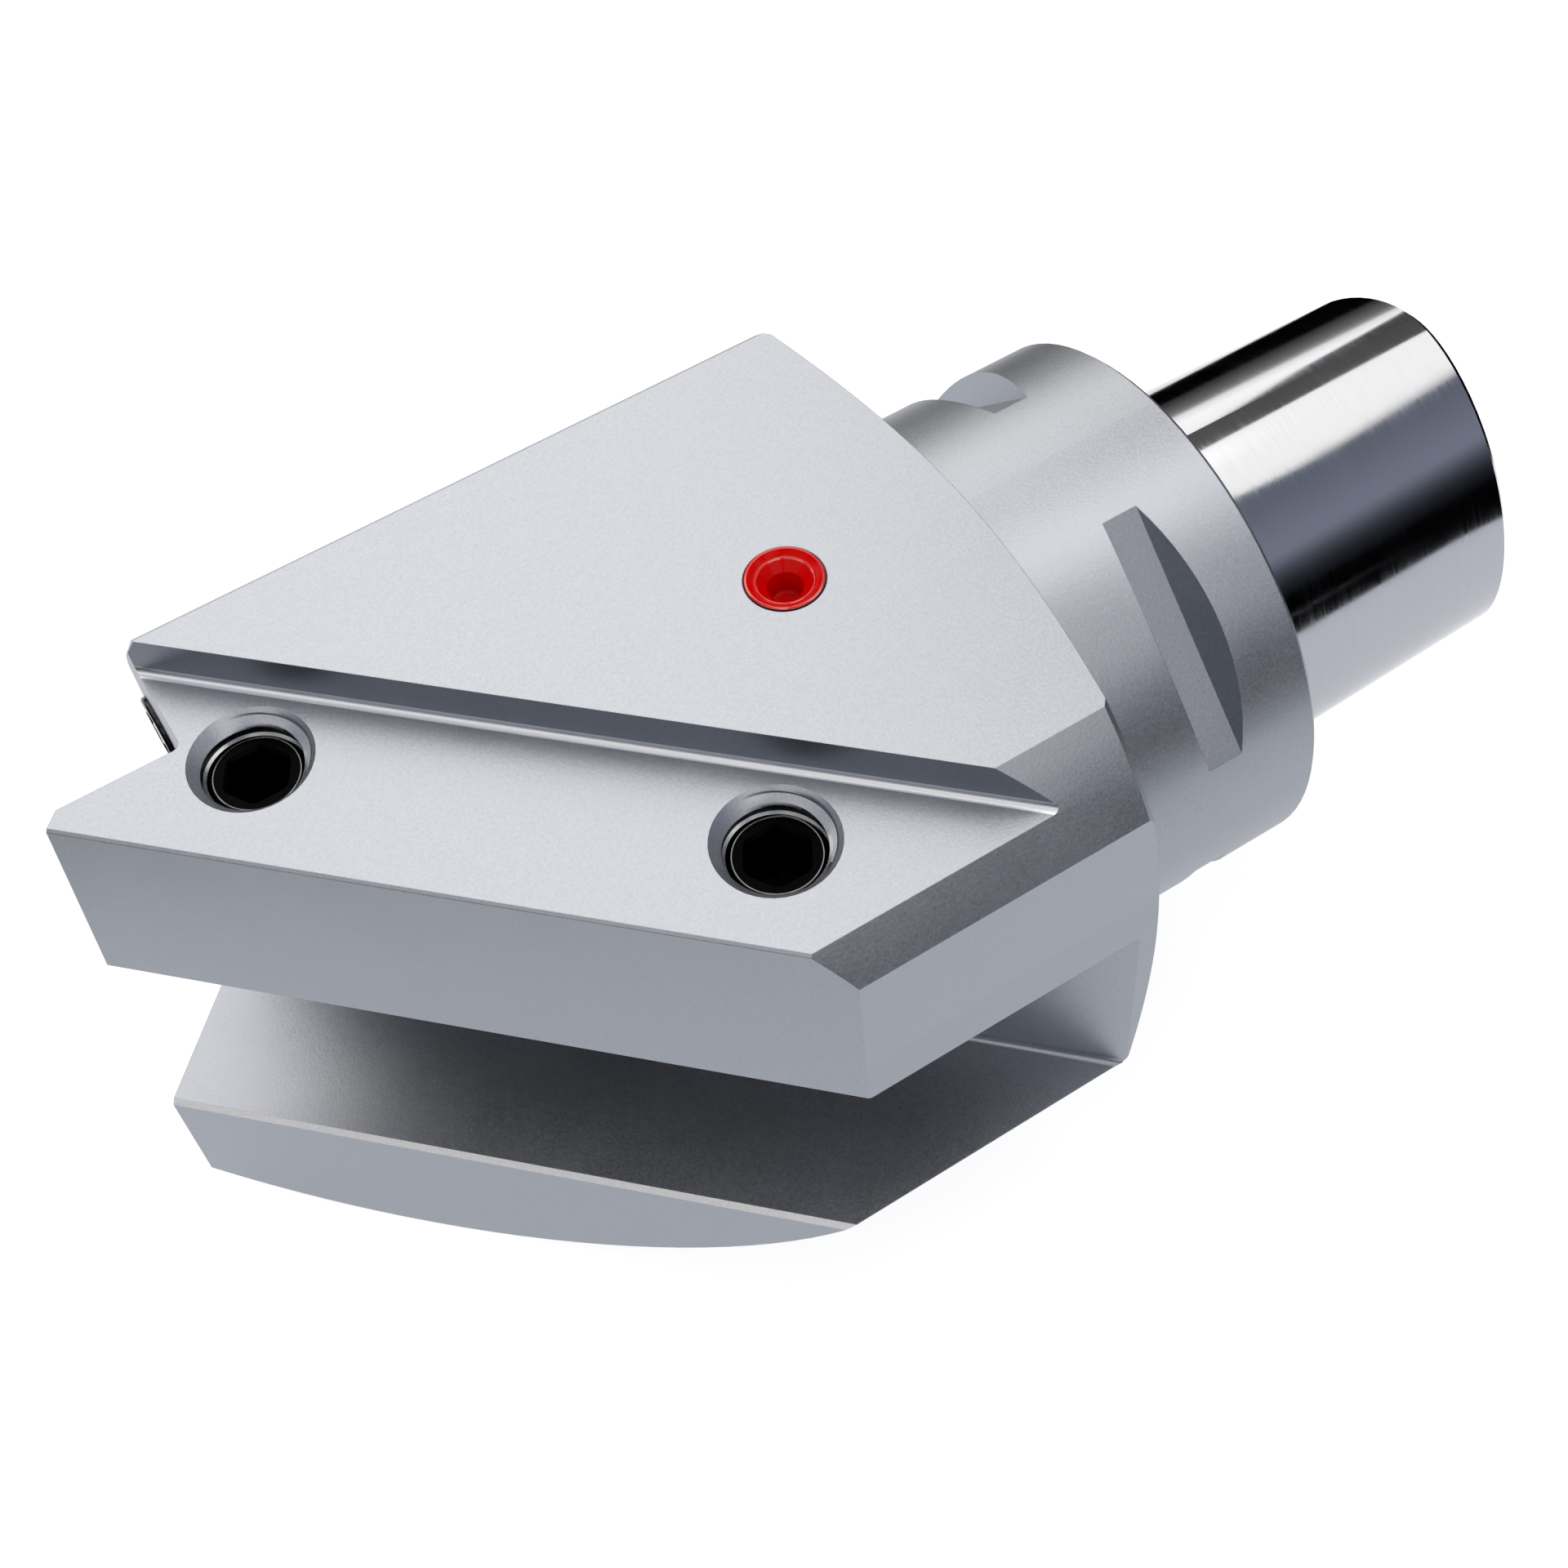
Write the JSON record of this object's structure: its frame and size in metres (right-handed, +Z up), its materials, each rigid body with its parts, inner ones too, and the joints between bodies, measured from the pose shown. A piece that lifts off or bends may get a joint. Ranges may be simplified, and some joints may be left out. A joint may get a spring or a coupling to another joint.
{
  "type": "turning tool holder adapter",
  "caption": "Adapter with a polygon taper shank and a slanted slot that clamps a square turning tool, with a swivelling coolant nozzle and a plugged coolant port.",
  "frame": {"origin": "centre of the flange's rear face, on the spindle axis", "axes": "+X along the spindle axis towards the machine, +Z up through the top face"},
  "size_m": [0.1618, 0.078, 0.0802],
  "materials": {
    "satin_steel": "satin",
    "black_oxide_steel": "black oxide",
    "polished_steel": "polished",
    "red_plastic": "gloss",
    "seat_plastic": "matte"
  },
  "bodies": {
    "holder": {"holder_body": "satin_steel", "nozzle_ring": "black_oxide_steel", "nozzle_seat": "seat_plastic", "port_sealing_screw": "black_oxide_steel"},
    "clamp_screw_left": {"clamp_screw_left": "black_oxide_steel"},
    "clamp_screw_right": {"clamp_screw_right": "black_oxide_steel"},
    "nozzle_ball": {"nozzle_ball": "polished_steel"},
    "port_plug": {"port_plug": "red_plastic"}
  },
  "joints": [
    {"name": "clamp_left_travel", "type": "slide", "parent": "holder", "child": "clamp_screw_left", "axis": [0, 0, 1], "range_m": [-0.01225, 0.00175]},
    {"name": "clamp_right_travel", "type": "slide", "parent": "holder", "child": "clamp_screw_right", "axis": [0, 0, 1], "range_m": [-0.01225, 0.00175]},
    {"name": "nozzle_swivel", "type": "hinge", "parent": "holder", "child": "nozzle_ball", "pos_m": [-0.103, 0.0342, 0.0159], "axis": [0, 0, 1], "range_deg": [-15, 15]},
    {"name": "plug_pull", "type": "slide", "parent": "holder", "child": "port_plug", "axis": [0, 0, 1], "range_m": [0, 0.01]}
  ]
}
